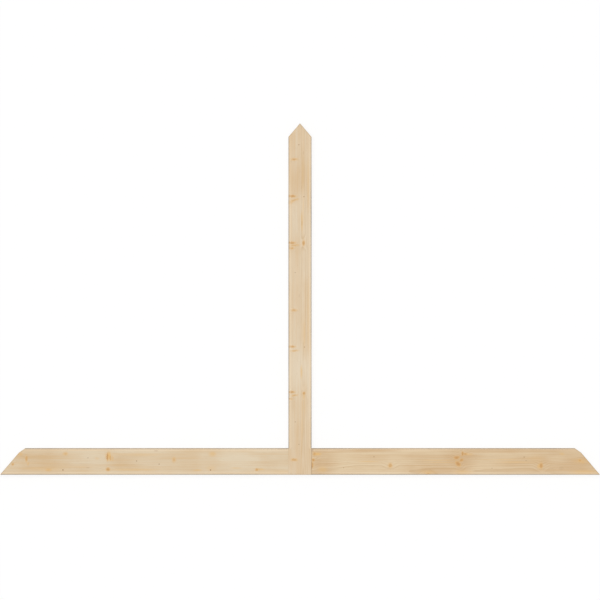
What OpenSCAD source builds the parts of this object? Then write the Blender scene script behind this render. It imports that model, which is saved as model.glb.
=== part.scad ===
// Timber gable bracket: a king post with a pointed head stands between two
// half tie beams, whose outer ends are cut to the slope of the roof.
// It lies on its back. X runs along the tie beams, Y up the post and Z from
// the back to the front. The origin is on the back face, where the centre
// lines of the post and the beams cross. All sizes are in millimetres.

/* [Overall] */
// Width between the tips of the two tie beams
span = 2134; // [1200:1:3000]
// Height from the underside of the tie beams to the point of the post
height = 1250; // [700:1:2000]
// Thickness of all the boards, from back to front
depth = 38; // [32:0.5:90]

/* [Boards] */
// Width of the king post's face
post_face = 82; // [66:0.5:140]
// Width of the tie beams' face
beam_face = 94; // [70:0.5:140]
// Width that easing takes off each face along the front and back edges
edge_ease = 3; // [1:0.1:3.5]
// Radius of the eased edges
ease_radius = 4; // [4:0.1:8]

/* [Beam ends] */
// Run of the flatter bevel that takes off the top corner of each end cut
nose_run = 22; // [5:0.5:40]
// Drop of that bevel below the top of the beam
nose_drop = 15; // [5:0.5:30]

/* [Tenon joints] */
// Length of the stub tenon on each tie beam
tenon_length = 25; // [15:0.5:30]
// Thickness of the tenon, from back to front
tenon_thickness = 12; // [8:0.5:16]
// Shoulder above and below the tenon
tenon_shoulder = 17; // [10:0.5:22]
// Clearance between a tenon and its mortise, on each cheek and edge
mortise_clearance = 0.2; // [0.1:0.05:0.5]
// Space for glue past the end of each tenon
glue_space = 2; // [1:0.5:3]

/* [Hidden] */
$fn = 48;

post_colour = "#dcc6a5";
left_beam_colour = "#dac3a1";
right_beam_colour = "#d9bf9a";

// Half widths, measured from the centre lines
half_span = span / 2;
half_post = post_face / 2;
half_beam = beam_face / 2;

// The roof slopes run from the tips of the beams to the point of the post
roof_slope = height / half_span;
apex_y = height - half_beam;
shoulder_y = apex_y - half_post * roof_slope;

// The end cut climbs the roof slope as far as the flatter bevel
nose_y = half_beam - nose_drop;
nose_x = half_span - (nose_y + half_beam) / roof_slope;

// The tenon fills the beam's end between its two shoulders
tenon_height = beam_face - 2 * tenon_shoulder;

// Distance from both faces of an edge to the centre of its eased round, which
// meets the faces at a slight angle
ease_centre = (edge_ease + sqrt(2 * pow(ease_radius, 2) - pow(edge_ease, 2))) / 2;

// How far a cutter reaches past the surface that it cuts
over = 1;
// How far an edge cutter runs on past a corner, so that two edges mitre
run_on = 20;

function turn_to(from, to) = atan2(to.y - from.y, to.x - from.x);

// A flat board cut to an outline, with its back on the floor
module board(outline) {
  linear_extrude(depth) polygon(outline);
}

// The waste between a square edge at the origin and its eased round
module edge_waste(length) {
  rotate([90, 0, 90]) linear_extrude(length) difference() {
    translate([-over, -over]) square(ease_centre + over);
    translate([ease_centre, ease_centre]) circle(ease_radius);
  }
}

// Eases the back and front edges along one side of an outline that runs
// anticlockwise, from one corner to the next
module ease_edges(from, to, before = run_on, after = run_on) {
  length = norm(to - from) + before + after;
  translate([from.x, from.y, 0]) rotate(turn_to(from, to)) translate([-before, 0, 0]) {
    edge_waste(length);
    translate([0, 0, depth]) mirror([0, 0, 1]) edge_waste(length);
  }
}

// A block on the beams' centre line that reaches into the right side of the
// post: the tenon itself, or the mortise when it is given clearance
module tenon_block(length, clearance = 0) {
  thickness = tenon_thickness + 2 * clearance;
  tall = tenon_height + 2 * clearance;
  translate([half_post - length, -tall / 2, (depth - thickness) / 2])
    cube([length + over, tall, thickness]);
}

// Post: square foot between the beams, and a head cut to both roof slopes
module king_post() {
  apex = [0, apex_y];
  color(post_colour) difference() {
    board([
      [-half_post, -half_beam], [half_post, -half_beam],
      [half_post, shoulder_y], apex, [-half_post, shoulder_y]
    ]);
    ease_edges([-half_post, -half_beam], [half_post, -half_beam]);
    ease_edges([half_post, half_beam], [half_post, shoulder_y], before = 0);
    ease_edges([half_post, shoulder_y], apex);
    ease_edges(apex, [-half_post, shoulder_y]);
    ease_edges([-half_post, shoulder_y], [-half_post, half_beam], after = 0);
    for (side = [0, 1])
      mirror([side, 0, 0]) tenon_block(tenon_length + glue_space, mortise_clearance);
  }
}

// Right beam: butts against the post, with its tenon inside it
module tie_beam() {
  tip = [half_span, -half_beam];
  nose = [nose_x, nose_y];
  top_corner = [nose_x - nose_run, half_beam];
  foot = [half_post, -half_beam];
  head = [half_post, half_beam];
  difference() {
    board([foot, tip, nose, top_corner, head]);
    ease_edges(foot, tip);
    ease_edges(tip, nose);
    ease_edges(nose, top_corner);
    ease_edges(top_corner, head);
  }
  tenon_block(tenon_length);
}

module right_tie_beam() {
  color(right_beam_colour) tie_beam();
}

module left_tie_beam() {
  color(left_beam_colour) mirror([1, 0, 0]) tie_beam();
}

king_post();
left_tie_beam();
right_tie_beam();
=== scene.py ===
# %% [markdown]
# # A timber gable bracket
# This lesson dresses a roof ornament made of three planed softwood boards: a king post with a
# pointed head, and a half tie beam on each side of it. It lies on its back, so its face looks up
# at the camera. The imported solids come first, because they fix where every board is. The boards
# are then built again as fine meshes in the same place, and get a wood that is solid all the way
# through.

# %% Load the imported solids
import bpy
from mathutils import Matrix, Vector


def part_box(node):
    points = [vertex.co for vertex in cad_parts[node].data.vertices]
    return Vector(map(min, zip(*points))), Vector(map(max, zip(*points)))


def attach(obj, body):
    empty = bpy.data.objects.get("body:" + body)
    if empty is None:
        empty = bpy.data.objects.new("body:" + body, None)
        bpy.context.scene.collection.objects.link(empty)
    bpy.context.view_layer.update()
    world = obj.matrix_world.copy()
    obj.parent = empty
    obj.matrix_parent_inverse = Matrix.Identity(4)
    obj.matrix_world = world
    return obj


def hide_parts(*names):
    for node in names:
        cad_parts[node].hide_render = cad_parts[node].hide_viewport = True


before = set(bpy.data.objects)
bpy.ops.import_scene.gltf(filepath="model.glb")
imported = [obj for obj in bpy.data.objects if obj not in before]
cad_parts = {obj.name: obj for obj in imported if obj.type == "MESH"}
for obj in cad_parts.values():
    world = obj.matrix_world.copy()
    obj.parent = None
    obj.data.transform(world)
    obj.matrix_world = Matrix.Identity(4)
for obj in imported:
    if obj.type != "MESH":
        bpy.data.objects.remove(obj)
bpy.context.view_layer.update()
print("packed boards:", sorted(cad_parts))

# %% [markdown]
# ## Sizes
# The frame gives the corner points of each packed board in metres, so the widths, the thickness
# and the slope of the roof are read from there and can't disagree with it. Only what a box can't
# show is written here: how far the edges are eased, the small bevel on the beams' ends, and the
# hidden stub tenons.

# %% Measure the boards
import math
import bmesh
import bpy
import numpy as np
from mathutils import Vector, noise

MM = 0.001
post_low, post_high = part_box("king_post")
beam_low, beam_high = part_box("right_tie_beam")
depth = post_high.z
half_post = post_high.x
half_beam = beam_high.y
half_span = beam_high.x
apex = post_high.y
roof_slope = (apex - post_low.y) / half_span

edge_ease = 3 * MM
ease_radius = 4 * MM
nose_run = 22 * MM
nose_drop = 15 * MM
tenon_length = half_post - beam_low.x
tenon_thickness = 12 * MM
tenon_height = 60 * MM
mortise_clearance = 0.2 * MM
glue_space = 2 * MM
print(f"span {2 * half_span:.3f} m, height {apex - post_low.y:.3f} m, thickness {depth:.3f} m")

# %% [markdown]
# ## Camera
# The picture is taken square on to the face of the boards, which is straight down. An orthographic
# camera would do for this one view, but the camera also has to move to other sides. A very long
# lens far away looks almost the same, and frames the object from everywhere.

# %% Look straight down through a long lens
IMAGE_PIXELS = 600
PIXEL_SIZE = 3.5567 * MM  # how much of the bracket one pixel shows
FOOT_ROW = 474.75  # the row of the picture on which the foot of the post lies
camera_distance = 30.0
view_width = IMAGE_PIXELS * PIXEL_SIZE
view_centre = post_low.y + (FOOT_ROW - IMAGE_PIXELS / 2) * PIXEL_SIZE

def put_in_scene(data):
    """An object with the name of its data, linked into the scene."""
    made = bpy.data.objects.new(data.name, data)
    bpy.context.scene.collection.objects.link(made)
    return made

camera = put_in_scene(bpy.data.cameras.new("long_lens"))
camera.data.lens = camera.data.sensor_width * camera_distance / view_width
camera.data.clip_end = 2 * camera_distance
camera.location = (0, view_centre, depth + camera_distance)
bpy.context.scene.camera = camera
print(f"lens {camera.data.lens:.0f} mm, view {view_width:.3f} m wide")

# %% [markdown]
# ## The outline of a board
# Each board is a plank with straight sides, sawn to one or two slopes at its ends. All is measured
# along the grain and across it, so that one recipe serves all three. A slope is a straight line:
# how far along it lies at the middle of the board, and how far it moves for each step across.
# Easing the edges pulls every line inwards by the same amount, as a joiner would mark it with a
# gauge.

# %% Lines that end a board
def cut_line(along_at_middle, slide, eased=1.0):
    """An end cut: where it crosses the middle, how it slides across, and its share of easing."""
    return {"at": along_at_middle, "slide": slide, "eased": eased}

def reach(lines, across, inset, way):
    """How far along its cuts let a board run; way is 1 at the far end and -1 at the near end."""
    ends = []
    for line in lines:
        pulled = inset * line["eased"] * math.hypot(1, line["slide"])
        ends.append(line["at"] + line["slide"] * across - way * pulled)
    return np.minimum.reduce(ends) if way > 0 else np.maximum.reduce(ends)

nose_across = half_beam - nose_drop
nose_along = half_span - (nose_across + half_beam) / roof_slope
end_cut = cut_line(half_span - half_beam / roof_slope, -1 / roof_slope)
nose_cut = cut_line(nose_along + nose_across * nose_run / nose_drop, -nose_run / nose_drop)
head_cuts = [cut_line(apex, -roof_slope), cut_line(apex, roof_slope)]
foot_cut = cut_line(post_low.y, 0)
print(f"the roof slope is {math.degrees(math.atan(roof_slope)):.1f} degrees")

# %% [markdown]
# ## Three boards
# The post runs down between the beams, and they butt against it, each with a stub tenon in a
# mortise. A tight joint still shows as a hair line, because corners of wood are never quite sharp,
# so the edges there keep a small share of the easing. The right joint is a little more open than
# the left.
# For each board, axes names the frame's axes along and across it, sign says which way along runs,
# and near and far are the cuts that end it. The post's seam is the easing left at its two joints.

# %% Describe the boards
LEFT_SEAM = 0.03
RIGHT_SEAM = 0.12

boards = {
    "king_post": {
        "piece": "king_post_board", "slot": "post_fir", "axes": (1, 0), "sign": 1,
        "half_face": half_post, "near": [foot_cut], "far": head_cuts,
        "seam": (LEFT_SEAM, RIGHT_SEAM),
    },
}
for node, piece_name, slot, sign, seam in (
    ("left_tie_beam", "left_beam_board", "left_beam_fir", -1, LEFT_SEAM),
    ("right_tie_beam", "right_beam_board", "right_beam_fir", 1, RIGHT_SEAM),
):
    boards[node] = {
        "piece": piece_name, "slot": slot, "axes": (0, 1), "sign": sign, "half_face": half_beam,
        "near": [cut_line(half_post, 0, seam)], "far": [end_cut, nose_cut],
    }
post, left_beam, right_beam = boards.values()

def is_post(board):
    """True for the post, which runs along the frame's second axis."""
    return board["axes"] == (1, 0)

print(len(boards), "boards to build,", sum(map(is_post, boards.values())), "of them a post")

# %% [markdown]
# ## A grid that follows the cuts
# A box with a bevel would give the outline, but no points on the face to carry any unevenness. A
# voxel remesh would give points, but blur the crisp cuts. So each face is a grid of small squares,
# whose lines fall on every corner of the outline and on the edges of the joint.

# %% Spread the grid lines
GRID_STEP = 2 * MM

def stations(stops, counts):
    """Places from the first stop to the last, with each stretch cut into equal steps."""
    stops = np.broadcast_arrays(*stops)
    stretches = []
    for start, end, count in zip(stops, stops[1:], counts):
        stretches.append(np.linspace(start, end, count, endpoint=False))
    return np.concatenate(stretches + [stops[-1][None]])

def steps(stops):
    """How many grid steps each stretch between two stops takes."""
    return [max(1, round(abs(length) / GRID_STEP)) for length in np.diff(stops)]

print("a stretch of 9 mm takes", steps([0, 9 * MM])[0], "steps")

# %% Find the stops across a board
half_tenon = tenon_height / 2
half_mortise = half_tenon + mortise_clearance

def corner_across(board, inset):
    """Where across a board its two far cuts meet."""
    one, two = board["far"]
    pull = inset * (math.hypot(1, two["slide"]) - math.hypot(1, one["slide"]))
    return (two["at"] - one["at"] - pull) / (one["slide"] - two["slide"])

def across_stops(board, inset):
    """Where grid lines have to fall across a board: on its sides, its corner and its tenon."""
    side = board["half_face"] - inset
    corner = corner_across(board, inset)
    if is_post(board):
        return [-side, corner, side]
    tenon = half_tenon - inset
    return [-side, -tenon, tenon, corner, side]

print("stops across a beam:", [f"{stop / MM:.0f} mm" for stop in across_stops(left_beam, 0)])

# %% Lay out a face
ease_start = half_beam + edge_ease

def ease_less_at_seams(board, along, across, inset):
    """Pulls the post's sides in by only a share of the inset where the beams meet them."""
    half = board["half_face"]
    for side, seam in zip((-1, 1), board["seam"]):
        eased = np.interp(along, [half_beam, ease_start], [seam, 1])
        pulled = across * (half - inset * eased) / (half - inset)
        across = np.where(side * across > 0, pulled, across)
    return across

def face_grid(board, inset):
    """The grid of a face, as places along and across, with the outline pulled in by inset."""
    across = stations(across_stops(board, inset), steps(across_stops(board, 0)))
    start = reach(board["near"], across, inset, -1)
    end = reach(board["far"], across, inset, 1)
    joint = [-half_mortise, half_mortise, half_beam, ease_start] if is_post(board) else []
    longest = [board["near"][0]["at"], *joint, max(line["at"] for line in board["far"])]
    along = stations([start, *joint, end], steps(longest))
    across = np.broadcast_to(across, along.shape).copy()
    if is_post(board):
        across = ease_less_at_seams(board, along, across, inset)
    return along, across

for board in boards.values():
    print(board["piece"], "face grid", face_grid(board, 0)[0].shape)

# %% [markdown]
# ## From the face round the edge to the back
# The edges were eased with a hand plane and sandpaper, to a round of about four millimetres. A
# Bevel modifier would round the edges at the joints just as much. So the round is made of rings of
# points, each pulled in a little less than the one before and lying a little lower. The rings go
# on down the side and round to the back, and two of them mark the joint's thickness.

# %% Rings from front to back
ARC_STEPS = 6
# The arc ends edge_ease in from the side on the face, and edge_ease below the face on the side
arc_centre = (edge_ease + math.sqrt(2 * ease_radius**2 - edge_ease**2)) / 2
first_turn = math.acos(arc_centre / ease_radius)
turns = np.linspace(math.pi / 2 - first_turn, first_turn, ARC_STEPS + 1)
round_edge = [
    (arc_centre - ease_radius * math.cos(turn), arc_centre - ease_radius * math.sin(turn))
    for turn in turns
]

def rings(joint_thickness):
    """Pairs of inset and height, from the front face round both eased edges to the back face."""
    front = [(inset, depth - drop) for inset, drop in round_edge]
    back = [(inset, drop) for inset, drop in reversed(round_edge)]
    joint = [(0, (depth + joint_thickness) / 2), (0, (depth - joint_thickness) / 2)]
    upper = (0, (front[-1][1] + joint[0][1]) / 2)
    lower = (0, (back[0][1] + joint[1][1]) / 2)
    return [*front, upper, *joint, lower, *back]

print(len(rings(tenon_thickness)), "rings from the front of a board to its back")

# %% [markdown]
# ## How far from the edge
# The eased edges get a painted shade, and the flat strip beside them a painted highlight, so the
# tone depends on how far a place lies from the long edges. A material could find an edge from the
# way the surface turns, but not the flat strip beside it. So each point of the mesh keeps its
# distance from the nearest long edge, which goes on falling past zero down the side. At a joint
# there is no edge to paint.

# %% Measure from the long edges
def from_edge(board, along, across):
    """How far a place on a face lies from a long edge, or the thickness where a joint hides it."""
    sides = board["half_face"] - np.abs(across)
    if is_post(board):
        sides = np.where(along < half_beam, depth, sides)
    return sides

print(f"the head's middle is {from_edge(post, apex, 0.0) / MM:.0f} mm from a long edge")

# %% [markdown]
# ## The skin of a board
# A grid closes the front and another the back, and the rings join them into one closed skin of
# four-sided faces. Blender can bridge loops of edges too, but here every point already has a
# number, so the faces are listed from those.

# %% List the points of a board
def outline_order(rows, columns):
    """The grid's own numbers of the points round its outline, in order."""
    number = np.arange(rows * columns).reshape(rows, columns)
    sides = [number[:-1, 0], number[-1, :-1], number[:0:-1, -1], number[0, :0:-1]]
    return np.concatenate(sides)

def board_points(board, levels):
    """The points of both face grids and every ring, and how far each lies from a long edge."""
    points, edges = [], []
    for number, (inset, height) in enumerate(levels):
        along, across = face_grid(board, inset)
        edge = from_edge(board, along, across)
        chosen = slice(None)
        if number not in (0, len(levels) - 1):
            below_round = max(0, min(height, depth - height) - edge_ease)
            edge[:, 1:-1] = depth
            edge[:, [0, -1]] -= below_round
            chosen = outline_order(*along.shape)
        place = np.column_stack([along.ravel(), across.ravel(), np.full(along.size, height)])
        points.append(place[chosen])
        edges.append(edge.ravel()[chosen])
    return points, edges

print(len(outline_order(*face_grid(post, 0)[0].shape)), "points round the post's outline")

# %% List the faces of a board
def board_faces(rows, columns, blocks):
    """Four-sided faces over both grids, and between each ring and the next."""
    firsts = np.cumsum([0] + [len(block) for block in blocks[:-1]])
    faces = []
    for first, way in ((firsts[0], 1), (firsts[-1], -1)):
        number = first + np.arange(rows * columns).reshape(rows, columns)
        corners = [number[:-1, :-1], number[1:, :-1], number[1:, 1:], number[:-1, 1:]]
        quads = np.stack(corners, axis=-1)
        faces.extend(quads.reshape(-1, 4)[:, ::way].tolist())
    rim = outline_order(rows, columns)
    loops = []
    for first, block in zip(firsts, blocks):
        is_grid = len(block) > len(rim)
        loops.append(first + (rim if is_grid else np.arange(len(rim))))
    for upper, lower in zip(loops, loops[1:]):
        corners = [upper, lower, np.roll(lower, -1), np.roll(upper, -1)]
        faces.extend(np.stack(corners, axis=1).tolist())
    return faces

def board_skin(board, joint_thickness):
    """Points and faces of a board, and how far each point lies from a long edge."""
    points, edges = board_points(board, rings(joint_thickness))
    faces = board_faces(*face_grid(board, 0)[0].shape, points)
    return np.concatenate(points), faces, np.concatenate(edges)

post_points, post_faces, _ = board_skin(post, tenon_thickness)
print(len(post_points), "points and", len(post_faces), "faces on the post")

# %% [markdown]
# ## Knots, pin knots and streaks
# This is knotty fir. A branch that was cut across shows as a round knot, and one that was cut
# along its length as a spike, lying across the grain. Pin knots are the small grey-brown traces of
# dead twigs. Marks have the same tone: thin dark lines of the grain, and smudges. Streaks are
# resin and heartwood, drawn out along the grain. Warm and pale are broad patches of heartwood and
# sapwood.
# All these could be scattered at random, but the eye knows a board by its knots, so each is listed.
# A row gives the place along and across the board, the half length and half width, all in
# millimetres, how strong it is, and for knots how many degrees it leans. Places are the frame's
# own, so those along the left beam are negative.

# %% Knots of the king post
post["knots"] = [
    (1075, -21, 4.6, 13, 0.53, 0), (944, -30, 4.6, 15, 0.8, 0), (930, -21, 4, 18, 0.47, -15),
    (925, -30, 5.2, 13, 0.44, -20), (919, -36, 4.2, 8, 0.36, -10), (778, -32, 4.4, 15, 0.8, 0),
    (769, -22, 3.8, 20, 0.46, -5), (759, -32, 4.4, 11, 0.6, 0), (777, 13, 10, 4.8, 0.7, 0),
    (538, -21, 5, 11, 0.51, 0), (409, -31, 4.4, 14, 0.68, 0), (394, -20, 3.6, 15, 0.48, -4),
    (247, -32, 4.2, 14, 0.74, 0), (235, -20, 3.8, 12, 0.48, -8), (223, -36, 4, 9, 0.56, 0),
    (243, 14, 5, 4.6, 0.72, 0), (6, -21, 5.4, 11, 0.6, 0),
]
post["pins"] = [
    (1127, -4, 2.1, 1.7, 0.78), (942, 14, 2.2, 2, 0.74), (672, -17, 1.6, 2.8, 0.46),
    (407, 16, 2, 1.7, 0.72), (141, -17, 1.9, 1.9, 0.66), (61, -4, 1.7, 1.6, 0.66),
]
post["marks"] = [
    (590, -3, 7, 1.7, 0.16), (1098, 12.5, 8, 1.6, 0.16), (848, 7, 9, 1.2, 0.35),
    (712, 7.2, 56, 1.1, 0.12), (712, 14.5, 52, 1.1, 0.12),
]
post["streaks"] = [
    (853, 7, 34, 3.4, 0.6), (318, 5, 22, 3.6, 0.6), (232, 14, 11, 3.4, 0.55),
    (1015, 10, 60, 3, 0.18), (470, 9, 60, 3, 0.2), (120, 7, 60, 3.5, 0.25),
    (980, 30, 90, 3.5, 0.45), (520, 30, 120, 3.5, 0.4), (190, 9, 60, 1.8, 0.24),
    (180, 17, 50, 1.8, 0.22), (900, 12, 40, 2.2, 0.36), (450, 15, 50, 3.4, 0.34),
]
post["warm"] = [
    (1015, -6, 85, 46, 0.6), (1140, -4, 70, 46, 0.4), (100, 0, 130, 46, 0.35),
    (0, 0, 70, 46, 0.62), (940, -28, 26, 22, 0.35), (768, -28, 24, 20, 0.3),
    (640, -14, 60, 24, 0.2),
]
post["pale"] = [
    (860, -12, 70, 36, 0.35), (325, -6, 85, 44, 0.7), (560, 36, 560, 3, 0.45),
]
print(len(post["knots"]), "knots on the post")

# %% Knots of the left tie beam
left_beam["knots"] = [
    (-973, 10, 4, 11, 0.66, 0), (-967, -8, 3.4, 6, 0.38, 0), (-1022, -10, 5, 4.4, 0.68, 0),
    (-995, 27, 9, 6, 0.4, 0), (-834, 28, 9, 6.4, 0.46, 0), (-895, -30, 10, 5, 0.44, 0),
    (-685, 17, 3.4, 14, 0.92, 0), (-674, 13, 2.8, 10, 0.62, 0), (-667, 12, 4.5, 10, 0.38, 0),
    (-691, 19, 2.8, 10, 0.34, 0), (-683, -28, 7.5, 6.6, 0.72, 0), (-448, 6, 7, 9, 0.47, 0),
    (-154, -29, 5.5, 5, 0.66, 0),
]
left_beam["pins"] = [
    (-843, -30, 2.6, 2.4, 1), (-754, 13, 2.2, 1.8, 0.61), (-581, 2, 2, 2, 0.88),
    (-501, -9, 2, 2, 0.88), (-318, -30, 2.7, 2.2, 0.94),
]
left_beam["marks"] = [
    (-512, 38, 8, 1.8, 0.5), (-755, -22, 7, 1.7, 0.24),
]
left_beam["streaks"] = [
    (-141, -28, 14, 3.2, 0.6), (-365, -31, 14, 3.4, 0.5), (-228, -23, 18, 3, 0.36),
    (-600, 25, 75, 4, 0.15), (-311, 27, 12, 8, 0.55), (-316, -24, 16, 9, 0.3),
    (-590, -29, 90, 4, 0.4), (-905, -27, 60, 6, 0.25), (-790, -19, 60, 1.6, 0.26),
    (-760, -33, 70, 1.6, 0.22), (-560, 24, 60, 5, 0.25), (-20, -38, 110, 5, 0.3),
    (-722, 11, 7, 4, 0.34), (-679, 20, 6, 14, 1),
]
left_beam["warm"] = [
    (-925, 0, 85, 44, 0.55), (-391, 2, 34, 44, 0.4), (-640, 0, 60, 40, 0.2),
    (-120, 24, 60, 8, 0.35),
]
left_beam["pale"] = [
    (-715, 6, 46, 38, 0.85), (-225, 4, 62, 42, 0.85), (-575, 36, 100, 9, 0.75),
    (-130, 38, 75, 6, 0.9), (-160, 10, 18, 22, 0.4), (-330, 0, 30, 40, 0.2),
]
print(len(left_beam["knots"]), "knots on the left beam")

# %% Knots of the right tie beam
right_beam["knots"] = [
    (51, 27, 5.4, 6.4, 0.63, 0), (47, 6, 5.4, 5.4, 0.84, 0), (42, -12, 5, 11, 0.7, 0),
    (321, -14, 8, 8.4, 0.6, 0), (455, -42, 8, 4.4, 0.5, 0), (557, 14, 9, 5.2, 0.92, 8),
    (578, 28, 3.4, 7.4, 0.95, 0), (574, 5, 6.8, 4.8, 0.78, 30), (587, 27, 9, 4.2, 0.56, 0),
    (562, -8, 10.5, 6.8, 0.86, -48), (858, -15, 6.2, 10, 0.74, 0), (996, 4, 5.4, 4.8, 0.56, 0),
    (1006, -3, 4.6, 4.6, 0.3, 0),
]
right_beam["pins"] = [
    (263, 17, 2, 1.9, 0.76), (155, -22, 2.1, 1.9, 0.5), (683, -24, 2, 1.8, 0.48),
    (797, 16, 2, 1.9, 0.88), (804, 3, 1.9, 1.6, 0.52),
]
right_beam["marks"] = [
    (42, 41, 7, 5, 0.55), (41, -20, 3, 8, 0.55), (930, -24, 10, 7, 0.1),
    (955, 5, 36, 1.1, 0.14), (965, -3, 30, 1.1, 0.12), (905, 26, 30, 1.2, 0.1),
]
right_beam["streaks"] = [
    (62, 27, 12, 5, 0.95), (80, -28, 16, 10, 0.45), (243, 0, 32, 2.4, 0.45),
    (602, 26, 12, 3.2, 0.4), (765, -2, 60, 3, 0.4), (455, -38, 30, 7, 0.4),
    (1010, -38, 40, 7, 0.5), (580, -38, 30, 7, 0.45), (490, 5, 60, 1.7, 0.4),
    (500, -3, 56, 1.7, 0.36), (720, 7, 70, 1.8, 0.34), (1000, 2, 30, 8, 0.35),
    (850, -17, 6, 8, 0.7), (932, 27, 8, 4, 0.5), (838, 8, 30, 14, 0.18),
]
right_beam["warm"] = [
    (75, -4, 45, 44, 0.7), (470, -26, 85, 22, 0.85), (565, 8, 48, 44, 0.85),
    (950, -6, 150, 46, 0.6), (735, 38, 230, 6, 0.85), (240, 38.5, 105, 5, 0.85),
    (330, 22, 70, 8, 0.25), (890, -19, 20, 10, 0.5), (896, 36, 30, 5, 0.7),
]
right_beam["pale"] = [
    (205, -6, 115, 26, 0.42), (345, 6, 50, 30, 0.3), (425, 36, 75, 7, 0.7),
    (420, -26, 18, 16, 0.3), (500, 29, 420, 4, 0.5), (912, 12, 30, 13, 0.45),
    (985, 20, 30, 10, 0.3),
]
print(len(right_beam["knots"]), "knots on the right beam")

# %% [markdown]
# ## Unevenness
# A planed and sanded face isn't quite flat: the sander leaves long shallow waves, and hard knots
# stand a little proud. It is a fraction of a millimetre, but highlights follow it. A Displace
# modifier with a texture could do it, but its knots would not lie where these do. So each point is
# moved along its own normal. The moves fade out at the joints, which were cut flush, and towards
# the back, which lies flat.

# %% Measure the unevenness of a board
WAVE_HEIGHT = 0.12 * MM
WAVE_LENGTH = 140 * MM
WAVE_WIDTH = 45 * MM
KNOT_HEIGHT = 0.25 * MM
JOINT_FADE = 12 * MM

def unevenness(board, points):
    """How far each point stands out from the flat, in metres; knots are too low to show a lean."""
    along, across, height = points.T
    scaled = points / (WAVE_LENGTH, WAVE_WIDTH, WAVE_WIDTH)
    proud = WAVE_HEIGHT * np.array([noise.noise(Vector(place)) for place in scaled])
    for knot_along, knot_across, half_along, half_across, strength, _ in board["knots"]:
        along_off = (along - knot_along * board["sign"] * MM) / (half_along * MM)
        across_off = (across - knot_across * MM) / (half_across * MM)
        proud += KNOT_HEIGHT * strength * np.exp(-np.hypot(along_off, across_off)**2)
    joint = ease_start if is_post(board) else half_post
    return proud * np.clip((along - joint) / JOINT_FADE, 0, 1) * height / depth

lift = unevenness(post, post_points)
print(f"the post is uneven by {lift.min() / MM:.2f} to {lift.max() / MM:.2f} mm")

# %% [markdown]
# ## Tenons and mortises
# A tenon is a patch of the beam's end drawn out into the post, and a mortise is a patch of the
# post's side pushed in. A boolean would cut them too, but it leaves long thin faces round the cut.
# Both stay hidden, but the boards then fit each other as the real ones do.

# %% Draw out a tenon or push in a mortise
def draw_patch(mesh, inside, move):
    """Extrudes the faces whose middle passes a test, and moves them."""
    patch = [face for face in mesh.faces if inside(face.calc_center_median())]
    drawn = bmesh.ops.extrude_face_region(mesh, geom=patch)["geom"]
    corners = [item for item in drawn if isinstance(item, bmesh.types.BMVert)]
    bmesh.ops.translate(mesh, vec=move, verts=corners)
    bmesh.ops.delete(mesh, geom=patch, context="FACES_KEEP_BOUNDARY")

def joint_patch(side, half_height, thickness):
    """A test for places on one side of the post that lie within the joint."""
    def inside(place):
        on_seam = abs(place.x - side * half_post) < GRID_STEP / 2
        in_height = abs(place.y) < half_height
        return on_seam and in_height and abs(place.z - depth / 2) < thickness / 2
    return inside

def add_joints(mesh, board, thickness):
    """Pushes two mortises into the post, or draws a tenon out of a beam."""
    if is_post(board):
        for side in (-1, 1):
            push = Vector((-side * (tenon_length + glue_space), 0, 0))
            draw_patch(mesh, joint_patch(side, half_mortise, thickness), push)
    else:
        pull = Vector((-board["sign"] * tenon_length, 0, 0))
        draw_patch(mesh, joint_patch(board["sign"], half_tenon, thickness), pull)

print(f"tenons are {tenon_length / MM:.0f} mm long and {tenon_height / MM:.0f} mm tall")

# %% [markdown]
# ## Making the boards
# Each board is turned from its own measures into the frame's axes, made uneven, and given its half
# of the joints. It is shaded smooth, apart from the sharp turns where the saw cut. It rides on the
# only body there is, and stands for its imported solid.

# %% Shape the mesh of a board
SHARP_TURN = math.radians(14)

def in_frame(board, points):
    """Places along, across and through a board, in the frame's own axes."""
    along_axis, across_axis = board["axes"]
    placed = points.copy()
    placed[:, along_axis] = board["sign"] * points[:, 0]
    placed[:, across_axis] = points[:, 1]
    return placed

def board_mesh(board):
    """The finished mesh of a board, and how many of its edges are open."""
    thickness = tenon_thickness + 2 * mortise_clearance * is_post(board)
    points, faces, edges = board_skin(board, thickness)
    data = bpy.data.meshes.new(board["piece"])
    data.from_pydata(in_frame(board, points).tolist(), [], faces)
    measure = data.attributes.new("from_edge", "FLOAT", "POINT")
    measure.data.foreach_set("value", (edges / MM).astype(np.float32))
    mesh = bmesh.new()
    mesh.from_mesh(data)
    bmesh.ops.recalc_face_normals(mesh, faces=mesh.faces)
    mesh.normal_update()
    for vertex, proud in zip(mesh.verts, unevenness(board, points)):
        vertex.co += vertex.normal * proud
    add_joints(mesh, board, thickness)
    bmesh.ops.recalc_face_normals(mesh, faces=mesh.faces)
    open_edges = sum(not edge.is_manifold for edge in mesh.edges)
    mesh.to_mesh(data)
    mesh.free()
    data.polygons.foreach_set("use_smooth", [True] * len(data.polygons))
    data.set_sharp_from_angle(angle=SHARP_TURN)
    return data, open_edges

print(f"a turn of more than {math.degrees(SHARP_TURN):.0f} degrees is shaded sharp")

# %% Put the boards in place
def make_board(node, board):
    """Builds a board where the frame has it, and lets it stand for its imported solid."""
    data, open_edges = board_mesh(board)
    piece = put_in_scene(data)
    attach(piece, "root")
    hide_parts(node)
    print(piece.name, len(data.polygons), "faces,", open_edges, "open edges")
    return piece

pieces = {node: make_board(node, board) for node, board in boards.items()}

# %% [markdown]
# ## Colours and nodes
# Colours are written as they look on a screen, in sRGB hex. Blender mixes light in linear values,
# so one function turns them over. Another adds a node, sets it up and links it, so that a long
# recipe reads as a list of what feeds what. Inputs are given in the order in which Blender shows
# them, or by name. Each is a value, an output, or a node, whose first output then feeds it.

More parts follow.
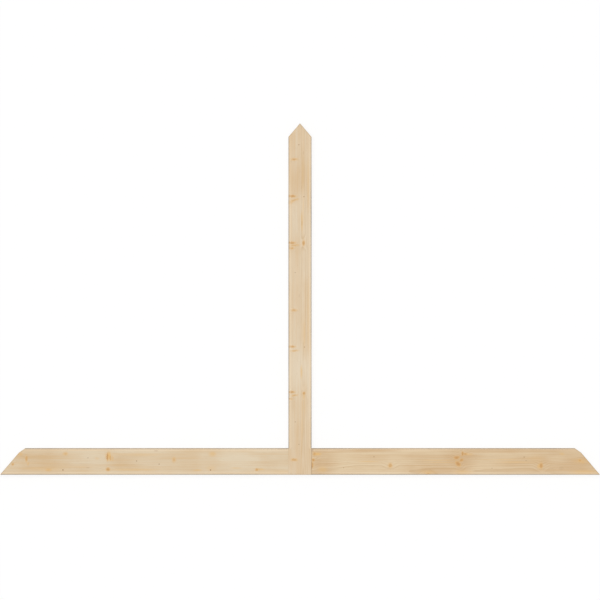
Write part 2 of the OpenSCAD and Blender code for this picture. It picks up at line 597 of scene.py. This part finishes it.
# %% Two helpers for materials
def linear(hex_colour):
    """An sRGB hex colour as linear red, green, blue and alpha."""
    shown = [int(hex_colour[i:i + 2], 16) / 255 for i in (1, 3, 5)]
    return (*[c / 12.92 if c <= 0.04045 else ((c + 0.055) / 1.055) ** 2.4 for c in shown], 1.0)

def add(tree, kind, inputs=(), operation=None, **settings):
    """Adds a node with its settings and links; inputs are a list, or a dictionary by name."""
    made = tree.nodes.new("ShaderNode" + kind)
    if operation:
        made.operation = operation
    for name, value in settings.items():
        setattr(made, name, value)
    sockets = [socket for socket in made.inputs if socket.enabled]
    if isinstance(inputs, dict):
        sockets = [made.inputs[name] for name in inputs]
        inputs = inputs.values()
    for socket, value in zip(sockets, inputs):
        if isinstance(value, bpy.types.Node):
            value = next(output for output in value.outputs if output.enabled)
        if isinstance(value, bpy.types.NodeSocket):
            tree.links.new(value, socket)
        else:
            socket.default_value = value
    return made

print("linear mid grey:", [round(c, 3) for c in linear("#808080")])

# %% [markdown]
# ## Planed fir
# The wood is a pale fir, planed and sanded, with no finish on it: a warm cream ground with faint
# darker lines, because each year's growth ends in a thin band of dense latewood. A flat picture of
# wood would break at every edge. A solid pattern doesn't: wherever a saw cuts through the rings of
# the tree, the right figure appears, straight on one face, arched on another, and curved on the
# end grain. So all patterns live in board millimetres: along the grain, across it, and through it.

# %% Where a point is in its board
def board_place(tree, board):
    """The place of the shaded point in its board, in millimetres."""
    place = add(tree, "SeparateXYZ", [add(tree, "TexCoord").outputs["Object"]])
    along, across = [place.outputs[axis] for axis in board["axes"]]
    ordered = add(tree, "CombineXYZ", [along, across, place.outputs["Z"]])
    return add(tree, "VectorMath", [ordered, 1 / MM], "SCALE")

print("board places are in steps of", MM, "m")

# %% [markdown]
# ## Patterns at many scales
# Wood varies at many scales at once, from the bends of the trunk to a single fibre. Each pattern
# is noise, stretched by dividing the place by the size that a blob should have. A real resin canal
# is a fifth of a millimetre wide and a fibre a twentieth, too fine for a picture of the whole
# bracket, so canals are drawn four times as coarse and fibres about thirty times.

# %% Noise stretched along the grain
# Each size is in millimetres: along the grain, across it and through the board
PATTERN_SIZES = {
    "wander": (420, 130, 130),  # how the trunk bends
    "clear": (260, 50, 50),  # where the saw meets the year rings squarely
    "tone": (120, 36, 36),  # a hand's breadth of warmer or paler wood
    "bands": (240, 5, 5),  # one or two years' growth
    "ragged": (14, 5, 5),  # fibres that swerve round a knot
    "flecks": (22, 0.8, 0.8),  # resin canals, drawn coarse
    "fibre": (60, 1.4, 1.4),  # fibres, drawn coarse
    "sawn": (1.6, 1.6, 40),  # marks of the saw's teeth, down through the board
}
NOISE_DETAIL = 2.0
NOISE_MIDDLE = (0.5, 0.5, 0.5)

def grain_patterns(tree, place):
    """Every pattern of the wood by name; each gives a value for tones and a colour for shifts."""
    made = {}
    for name, size in PATTERN_SIZES.items():
        scaled = add(tree, "VectorMath", [place, size], "DIVIDE")
        made[name] = add(tree, "TexNoise", {"Vector": scaled, "Scale": 1, "Detail": NOISE_DETAIL})
    return made

def shifted(tree, place, pattern, reach_mm):
    """A place pushed about by a pattern, by at most half of the given millimetres each way."""
    colour = pattern.outputs["Color"]
    even = add(tree, "VectorMath", [colour, NOISE_MIDDLE], "SUBTRACT")
    return add(tree, "VectorMath", [even, reach_mm, place], "MULTIPLY_ADD")

print(len(PATTERN_SIZES), "patterns of the grain")

# %% [markdown]
# ## Knots have a depth
# A knot is a branch, so it goes into the board: a spike only a little way, as it lies in the face,
# and a round knot right through. Painted on the face it would stop at the edge, so each is an
# ellipsoid. A Mapping node of the texture kind takes a point into the knot's own frame, where the
# knot is a ball of radius one. How far the point is from its middle then says how much of the knot
# is there. Pins, streaks and patches are ellipsoids too, and where two meet the stronger one
# counts.

# %% Fields of knots, pins, streaks and patches
SPIKE_SHAPE = 2  # a knot more than this many times as wide as it is long is a spike
SPIKE_DEPTH = 9
ROUND_DEPTH = 60
SOFT_RIM = (0.2, 1.7)
front_mm = depth / MM

def spots(rows, deep):
    """Rows of a list as ellipsoids that reach in from the front face by so many millimetres."""
    for along, across, half_along, half_across, strength in rows:
        yield (along, across, front_mm), (half_along, half_across, deep), strength, 0

def knots_in(board, wider=(0, 0, 0)):
    """The knots of a board as ellipsoids, with their half sizes made wider by some millimetres."""
    for along, across, half_along, half_across, strength, lean in board["knots"]:
        is_spike = half_across > SPIKE_SHAPE * half_along
        half_sizes = (half_along, half_across, SPIKE_DEPTH if is_spike else ROUND_DEPTH)
        grown = [half + more for half, more in zip(half_sizes, wider)]
        yield (along, across, front_mm), grown, strength, lean

def strongest(tree, place, ellipsoids, rim=SOFT_RIM):
    """How strongly the spots show; each is given by its middle, half sizes, strength and lean."""
    field = None
    for middle, half_sizes, strength, lean in ellipsoids:
        turn = (0, 0, math.radians(lean))
        local = add(tree, "Mapping", [place, middle, turn, half_sizes], vector_type="TEXTURE")
        away = add(tree, "VectorMath", [local], "LENGTH")
        here = add(tree, "MapRange", [away, *rim, strength, 0], interpolation_type="SMOOTHSTEP")
        if field is not None:
            here = add(tree, "Math", [field, here], "MAXIMUM")
        field = here
    return field

print("spike knots reach", SPIKE_DEPTH, "mm into a board")

# %% [markdown]
# ## Growth rings
# The rings are laid round the pith, whose place across and through each board is given in
# millimetres, with the width of a year. The trunk isn't straight, so the pith wanders, and it
# tapers, so a straight cut slowly crosses from one ring to the next. That turns straight lines
# into long arches. Near a knot the rings swell and run round it.

# %% Rings round the pith
post.update(pith=(12, 24), ring=3.6, taper=0.004)
left_beam.update(pith=(-95, -40), ring=3.0, taper=0.006)
right_beam.update(pith=(-34, -30), ring=2.8, taper=-0.006)
WANDER = (0, 9, 9)
WOBBLE = (0, 3, 3)
KNOT_SWELL = 5
BENT_ROUND_MM = (14, 5, 5)
ACROSS_THE_TRUNK = (0, 1, 1)

def ring_radius(tree, place, board, patterns):
    """How far from the pith the ring at each point grew, in millimetres."""
    bent = shifted(tree, place, patterns["wander"], WANDER)
    bent = shifted(tree, bent, patterns["tone"], WOBBLE)
    radial = add(tree, "VectorMath", [bent, (0, *board["pith"])], "SUBTRACT")
    radial = add(tree, "VectorMath", [radial, ACROSS_THE_TRUNK], "MULTIPLY")
    radius = add(tree, "VectorMath", [radial], "LENGTH")
    along = add(tree, "SeparateXYZ", [place]).outputs["X"]
    grown = add(tree, "Math", [along, board["taper"], radius], "MULTIPLY_ADD")
    swell = strongest(tree, place, knots_in(board, BENT_ROUND_MM))
    return add(tree, "Math", [swell, KNOT_SWELL, grown], "MULTIPLY_ADD")

print("the pith wanders by up to", WANDER[1] / 2, "mm")

# %% [markdown]
# ## Latewood
# Each ring darkens slowly from spring to autumn and then stops short, so its profile is a lopsided
# saw tooth. No two years are equally wide, and good and bad ones come in runs of nearly three. A
# Wave texture has a saw tooth too, but all its years are alike. So the radius is turned into a
# count of years, noise makes the count uneven, and the part after the point is the season.

# %% The dark part of each year
YEAR_CHANGE = 0.37  # how much of a swing between good and bad a year brings
YEAR_DETAIL = 1.0
RING_UNEVEN = 0.9
AUTUMN = (0.40, 0.93)
WINTER = (1.0, 0.95)

def latewood(tree, radius, board):
    """How much of the dense autumn wood there is at each point."""
    years = add(tree, "Math", [radius, board["ring"]], "DIVIDE")
    uneven = add(tree, "TexNoise", {"W": years, "Scale": YEAR_CHANGE, "Detail": YEAR_DETAIL},
                 noise_dimensions="1D")
    years = add(tree, "Math", [uneven, RING_UNEVEN, years], "MULTIPLY_ADD")
    season = add(tree, "Math", [years], "FRACT")
    autumn = add(tree, "MapRange", [season, *AUTUMN], interpolation_type="SMOOTHSTEP")
    winter = add(tree, "MapRange", [season, *WINTER])
    return add(tree, "Math", [autumn, winter], "MULTIPLY")

print("years are", [board["ring"] for board in boards.values()], "mm wide")

# %% [markdown]
# ## The ground of the wood
# Fir varies more in warmth than in brightness: sapwood is pale cream, and heartwood more orange,
# yet nearly as bright. So the ground slides between a pale and a warm tone, led by the patches and
# by broad noise. The latewood lines over it fade in and out along the board, because the saw
# doesn't always meet them squarely. Bands and fibre make it a touch lighter or darker.

# %% How warm the wood is
NOISE_WIDE = (0.25, 0.75)  # nearly all of the noise lies in here
WARMTH = (0.20, 0.70)
PATCH_PULL = 0.55
BAND_PULL = 0.3

def warmth(tree, place, board, patterns, warm):
    """How far each point is from the pale tone, 0, towards the warm one, 1."""
    pale = strongest(tree, place, spots(board["pale"], ROUND_DEPTH))
    broad = add(tree, "MapRange", [patterns["tone"], *NOISE_WIDE, *WARMTH])
    bands = add(tree, "MapRange", [patterns["bands"], *NOISE_WIDE, -BAND_PULL, BAND_PULL])
    both = add(tree, "Math", [broad, bands], "ADD")
    both = add(tree, "Math", [warm, PATCH_PULL, both], "MULTIPLY_ADD")
    return add(tree, "Math", [pale, -PATCH_PULL, both], "MULTIPLY_ADD", use_clamp=True)

print("warmth of plain wood:", WARMTH)

# %% Ground tones
post.update(pale_tone="#e1cfb3", warm_tone="#d5b68c", late_tone="#c4a374")
left_beam.update(pale_tone="#deccae", warm_tone="#d1b184", late_tone="#bf9d6e")
right_beam.update(pale_tone="#dfc8a3", warm_tone="#ccaa7d", late_tone="#bb9563")
NOISE_NARROW = (0.35, 0.65)  # the middle of the noise
LATE_SHARE = (0.16, 0.54)
BAND_VALUE = (0.96, 1.04)
FIBRE_VALUE = 0.06

def lay_over(tree, colour, layers):
    """Tones laid over a colour one after another, each with its own share."""
    for share, tone in layers:
        colour = add(tree, "Mix", [share, colour, linear(tone)], data_type="RGBA")
    return colour

def ground(tree, board, patterns, late, warm_share):
    """The colour of the wood without its knots."""
    shown = add(tree, "MapRange", [patterns["clear"], *NOISE_NARROW, *LATE_SHARE])
    lines = add(tree, "Math", [late, shown], "MULTIPLY")
    colour = lay_over(tree, linear(board["pale_tone"]), [
        (warm_share, board["warm_tone"]), (lines, board["late_tone"]),
    ])
    value = add(tree, "MapRange", [patterns["bands"], 0, 1, *BAND_VALUE])
    value = add(tree, "Math", [patterns["fibre"], FIBRE_VALUE, value], "MULTIPLY_ADD")
    value = add(tree, "Math", [value, FIBRE_VALUE / 2], "SUBTRACT")
    return add(tree, "HueSaturation", {"Value": value, "Color": colour})

print("pale tones:", [board["pale_tone"] for board in boards.values()])

# %% [markdown]
# ## Knots in the wood
# A weak knot is only an orange cloud. A strong one also has a brown heart with the branch's own
# year rings, a cloudy mottle and a thin rim of bark. A picture of a knot would look the same each
# time. The knot's own field is all that is needed: it falls from the middle outwards, so its top
# gives the heart, a wave of it the rings, and a narrow range of it the rim.

# %% The brown heart of a knot
HEART = (0.40, 0.85)
HEART_SHARE = 0.75
KNOT_RINGS = 6
KNOT_RING_DEPTH = 0.15
KNOT_MOTTLE = (0.55, 0.70)
KNOT_RIM = (0.40, 0.48, 0.53, 0.62)
RIM_SHARE = 0.2

def within(tree, value, stops):
    """1 between the two middle stops and 0 outside the outer two, with soft sides."""
    rise = add(tree, "MapRange", [value, stops[0], stops[1]], interpolation_type="SMOOTHSTEP")
    fall = add(tree, "MapRange", [value, stops[3], stops[2]], interpolation_type="SMOOTHSTEP")
    return add(tree, "Math", [rise, fall], "MULTIPLY")

def knot_heart(tree, knots, mottle):
    """The brown middle of strong knots, with its rings, mottle and rim."""
    heart = add(tree, "MapRange", [knots, *HEART, 0, HEART_SHARE], interpolation_type="SMOOTHSTEP")
    wave = add(tree, "Math", [knots, KNOT_RINGS * math.tau], "MULTIPLY")
    wave = add(tree, "Math", [wave], "SINE")
    wave = add(tree, "Math", [wave, KNOT_RING_DEPTH, 1 - KNOT_RING_DEPTH], "MULTIPLY_ADD")
    heart = add(tree, "Math", [heart, wave], "MULTIPLY")
    cloudy = add(tree, "Math", [mottle, *KNOT_MOTTLE], "MULTIPLY_ADD")
    heart = add(tree, "Math", [heart, cloudy], "MULTIPLY")
    rim = within(tree, knots, KNOT_RIM)
    return add(tree, "Math", [rim, RIM_SHARE, heart], "MULTIPLY_ADD", use_clamp=True)

print("a knot's heart shows from a strength of", HEART[0])

# %% [markdown]
# ## Tones of knots, streaks and pins
# Knots and streaks fade out softly into the wood, while a pin knot, a dead twig, has a crisp rim.
# Fibres swerve round all of them and leave no outline quite round, so a little noise pushes the
# places about first. Flecks are the resin canals: only the highest peaks of their noise show. The
# saw's pattern is as fine as the mottle of a knot, so it serves for that too.

# %% Tones laid over the ground
STREAK_TONE = "#dcb06a"
FLECK_TONE = "#a9834f"
KNOT_CLOUD = "#d7a75b"
KNOT_HEART = "#aa702a"
PIN_TONE = "#8a5a28"
KNOT_RAGGED = (6, 4, 4)
PIN_RAGGED = (2, 1.5, 1.5)
PIN_RIM = (0.60, 1.15)
STREAK_DEPTH = 14
CLOUD_GAIN = 1.3
FLECKS = (0.66, 0.74)
FLECK_SHARE = 0.35

def branch_layers(tree, place, board, patterns):
    """How strongly knots show, and the tones of branches, resin and twigs with their shares."""
    ragged = shifted(tree, place, patterns["ragged"], KNOT_RAGGED)
    uneven = shifted(tree, place, patterns["ragged"], PIN_RAGGED)
    knots = strongest(tree, ragged, knots_in(board))
    streaks = strongest(tree, ragged, spots(board["streaks"], STREAK_DEPTH))
    pins = strongest(tree, uneven, spots(board["pins"] + board["marks"], ROUND_DEPTH), PIN_RIM)
    flecks = add(tree, "MapRange", [patterns["flecks"], *FLECKS, 0, FLECK_SHARE])
    cloud = add(tree, "Math", [knots, CLOUD_GAIN], "MULTIPLY", use_clamp=True)
    heart = knot_heart(tree, knots, patterns["sawn"])
    return knots, [
        (streaks, STREAK_TONE), (flecks, FLECK_TONE), (cloud, KNOT_CLOUD), (heart, KNOT_HEART),
        (pins, PIN_TONE),
    ]

print("a knot goes from", KNOT_CLOUD, "to", KNOT_HEART)

# %% [markdown]
# ## End grain
# Faces cut across the grain show the open ends of the fibres, which drink in light and look
# darker. The year rings show there as curves, and the saw's teeth leave fine marks down through
# the board. Such faces could be painted one by one, but the way that a surface faces tells the
# same: the more it looks along the grain, the more end grain it shows.

# %% Tones of the sawn ends
END_GRAIN = "#c3a172"
END_LATE = "#9a7544"
END_TURN = (0.45, 0.62)
END_DULL = (0.35, 0.70)
END_RINGS = 0.38
SAWN_RANGE = (0.3, 0.7)

def cut_across(tree, board):
    """1 where the saw cut across the grain and 0 along it."""
    facing = add(tree, "TexCoord").outputs["Normal"]
    grain_way = (0, 1, 0) if is_post(board) else (1, 0, 0)
    turned = add(tree, "VectorMath", [facing, grain_way], "DOT_PRODUCT")
    turned = add(tree, "Math", [turned], "ABSOLUTE")
    return add(tree, "MapRange", [turned, *END_TURN], interpolation_type="SMOOTHSTEP")

def end_layers(tree, end_grain, patterns, late):
    """The tones of the sawn ends with their shares."""
    dull = add(tree, "MapRange", [patterns["sawn"], *SAWN_RANGE, *END_DULL])
    dull = add(tree, "Math", [end_grain, dull], "MULTIPLY")
    curves = add(tree, "Math", [end_grain, late], "MULTIPLY")
    curves = add(tree, "Math", [curves, END_RINGS], "MULTIPLY")
    return [(dull, END_GRAIN), (curves, END_LATE)]

print("end grain is", END_GRAIN, "with rings of", END_LATE)

# %% [markdown]
# ## Eased edges
# The eased edges turn away from the light, so a grey painted shade lies on them, more in some
# places than in others. The strip of face just inside them gets a paler painted highlight, unless
# it lies in a warm patch. A stripe could be painted along each edge, but the distance that each
# point of the mesh keeps already says where both are.

# %% Painted shade and highlight along the edges
# Painted shade: the grey that the eased edges get where they turn away from the light
EDGE_SHADE_TONE = "#8f7f6b"
# Painted highlight: the paler strip of face just inside the eased edges
EDGE_HIGHLIGHT_TONE = "#ecd6b6"
SHADED_ROUND_MM = (-3, -0.5, 1.8, 3.4)
HIGHLIGHT_STRIP_MM = (2.6, 4.0, 7.0, 13.0)
EDGE_SHADE_SHARE = (0.24, 0.80)
EDGE_HIGHLIGHT_SHARE = 0.4

def edge_layers(tree, patterns, warm):
    """The painted shade on the eased edges and the painted highlight beside them, with shares."""
    edge = add(tree, "Attribute", attribute_name="from_edge").outputs["Fac"]
    kept = add(tree, "MapRange", [warm, 0, 1, EDGE_HIGHLIGHT_SHARE, 0])
    # Painted highlight on the strip of face just inside the edge, less in warm patches
    edge_highlight = add(tree, "Math", [within(tree, edge, HIGHLIGHT_STRIP_MM), kept], "MULTIPLY")
    # Painted shade on the eased round, stronger in some places than in others
    shade_share = add(tree, "MapRange", [patterns["clear"], *NOISE_NARROW, *EDGE_SHADE_SHARE])
    grey = add(tree, "Math", [within(tree, edge, SHADED_ROUND_MM), shade_share], "MULTIPLY")
    return [(edge_highlight, EDGE_HIGHLIGHT_TONE), (grey, EDGE_SHADE_TONE)]

# The paler strip that this prints is a painted highlight
print("the cleanest wood lies", HIGHLIGHT_STRIP_MM[1], "to", HIGHLIGHT_STRIP_MM[2], "mm from an edge")

# %% [markdown]
# ## Sheen and fine relief
# Bare planed fir is dull, with a roughness of about a half. Knots are hard and take a slight
# polish, and end grain is rougher. Fibre and latewood stand a trace above the soft earlywood, and
# saw marks roughen the ends. That is far finer than the mesh can show, so it is left to a bump.

# %% Roughness and bump
ROUGHNESS = (0.46, 0.62)
KNOT_POLISH = 0.10
END_ROUGHER = 0.15
GRAIN_RELIEF = 0.1 * MM
RELIEF_STRENGTH = 0.3
LATE_RISE = 0.5  # how high latewood and saw marks rise, next to the fibre's one
SAW_RISE = 1.5

def sheen(tree, patterns, knots, end_grain):
    """The roughness of the wood."""
    rough = add(tree, "MapRange", [patterns["fibre"], 0, 1, *ROUGHNESS])
    rough = add(tree, "Math", [knots, -KNOT_POLISH, rough], "MULTIPLY_ADD")
    return add(tree, "Math", [end_grain, END_ROUGHER, rough], "MULTIPLY_ADD")

def relief(tree, patterns, late, end_grain):
    """A bump from the fibre, the latewood and the marks of the saw."""
    height = add(tree, "Math", [late, LATE_RISE, patterns["fibre"]], "MULTIPLY_ADD")
    marks = add(tree, "Math", [patterns["sawn"], end_grain], "MULTIPLY")
    height = add(tree, "Math", [marks, SAW_RISE, height], "MULTIPLY_ADD")
    return add(tree, "Bump", {
        "Strength": RELIEF_STRENGTH, "Distance": GRAIN_RELIEF, "Height": height,
    })

print("roughness from", ROUGHNESS[0], "to", ROUGHNESS[1])

# %% [markdown]
# ## Planed fir, put together
# One recipe makes the wood of all three boards, but each brings its own pith, tones and knots,
# because no two planks come from quite the same tree. The refractive index is that of cellulose,
# which wood is mostly made of.

# %% A material for planed fir
WOOD_IOR = 1.53

def planed_fir(node, board):
    """Bare planed fir: cream ground, thin darker latewood, warm knots and dull end grain."""
    material = bpy.data.materials.new("planed_fir_" + node)
    material.use_nodes = True
    tree = material.node_tree
    tree.nodes.clear()
    place = board_place(tree, board)
    patterns = grain_patterns(tree, place)
    late = latewood(tree, ring_radius(tree, place, board, patterns), board)
    warm = strongest(tree, place, spots(board["warm"], ROUND_DEPTH))
    end_grain = cut_across(tree, board)

    colour = ground(tree, board, patterns, late, warmth(tree, place, board, patterns, warm))
    knots, layers = branch_layers(tree, place, board, patterns)
    layers += end_layers(tree, end_grain, patterns, late)
    layers += edge_layers(tree, patterns, warm)
    shader = add(tree, "BsdfPrincipled", {
        "Base Color": lay_over(tree, colour, layers),
        "Roughness": sheen(tree, patterns, knots, end_grain),
        "IOR": WOOD_IOR,
        "Normal": relief(tree, patterns, late, end_grain),
    })
    add(tree, "OutputMaterial", {"Surface": shader})
    print(material.name, len(tree.nodes), "nodes")
    return material

for node, piece in pieces.items():
    piece.data.materials.append(planed_fir(node, boards[node]))

# %% [markdown]
# ## Floor
# The bracket was photographed against plain white. A floor that is only lit would look grey beside
# pale wood, and more light would bleach the wood. So the floor mostly shines by itself where the
# camera looks. The rest is matt, so the boards still cast a shadow on it and it throws light back
# at their sides. The two add up to one, which is white.

# %% Lay the floor
FLOOR_SIDE = 16.0
FLOOR_DROP = 0.2 * MM  # keeps the floor clear of the boards' backs
half = FLOOR_SIDE / 2
floor_corners = [(-half, -half, 0), (half, -half, 0), (half, half, 0), (-half, half, 0)]
floor_mesh = bpy.data.meshes.new("studio_floor")
floor_mesh.from_pydata(floor_corners, [], [(0, 1, 2, 3)])
floor = put_in_scene(floor_mesh)
floor.location = (0, view_centre, -FLOOR_DROP)
print("floor", FLOOR_SIDE, "m square")

# %% Paint the floor
FLOOR_GLOW = 0.8
FLOOR_WHITE = 1.01
FLOOR_PAINT = "#f4f4f4"
PURE_WHITE = (1, 1, 1, 1)

def seen_directly(tree):
    """1 where the camera looks, straight or by way of a mirror or glass."""
    path = add(tree, "LightPath")
    seen = path.outputs["Is Camera Ray"]
    for ray in ("Is Glossy Ray", "Is Transmission Ray"):
        seen = add(tree, "Math", [seen, path.outputs[ray]], "MAXIMUM")
    return seen

paint = bpy.data.materials.new("matt_white_paint")
paint.use_nodes = True
tree = paint.node_tree
tree.nodes.clear()
matt = add(tree, "BsdfDiffuse", {"Color": linear(FLOOR_PAINT)})
lit_share = (1 - FLOOR_GLOW) * linear(FLOOR_PAINT)[0]
glow_strength = (FLOOR_WHITE - lit_share) / FLOOR_GLOW
glow = add(tree, "Emission", {"Color": PURE_WHITE, "Strength": glow_strength})
share = add(tree, "Math", [seen_directly(tree), FLOOR_GLOW], "MULTIPLY")
both = add(tree, "MixShader", [share, matt, glow])
add(tree, "OutputMaterial", {"Surface": both})
floor.data.materials.append(paint)
print(f"the floor glows with a strength of {glow_strength:.2f}")

# %% [markdown]
# ## Light
# Studio light for a flat board is soft and comes from above, so that nothing on its face throws a
# shadow. Half of the light is a white sky all round, and half is one broad lamp, tilted a little
# so that the eased edges turn from light to dark. Together they add up to about one, so a colour
# comes out of the render much as it was written.

# %% White sky
SKY_LIGHT = 0.47
world = bpy.data.worlds.new("white_studio")
world.use_nodes = True
tree = world.node_tree
tree.nodes.clear()
strength = add(tree, "MapRange", [seen_directly(tree), 0, 1, SKY_LIGHT, 1])
sky = add(tree, "Background", {"Color": PURE_WHITE, "Strength": strength})
add(tree, "OutputWorld", {"Surface": sky})
bpy.context.scene.world = world
print("sky light", SKY_LIGHT)

# %% One broad lamp
LAMP_SHARE = 0.5
LAMP_TILT = 8
LAMP_ANGLE = 40
lamp = put_in_scene(bpy.data.lights.new("broad_lamp", "SUN"))
lamp.data.energy = LAMP_SHARE * math.pi  # a sun of pi lights a white surface facing it to one
lamp.data.angle = math.radians(LAMP_ANGLE)
lamp.rotation_euler = (math.radians(-LAMP_TILT), math.radians(-LAMP_TILT / 2), 0)
print(f"lamp {lamp.data.energy:.2f}, tilted by {LAMP_TILT} degrees")

# %% [markdown]
# ## Picture settings
# The Standard view shows each colour as it is written.

# %% Finish
bpy.context.scene.view_settings.view_transform = "Standard"
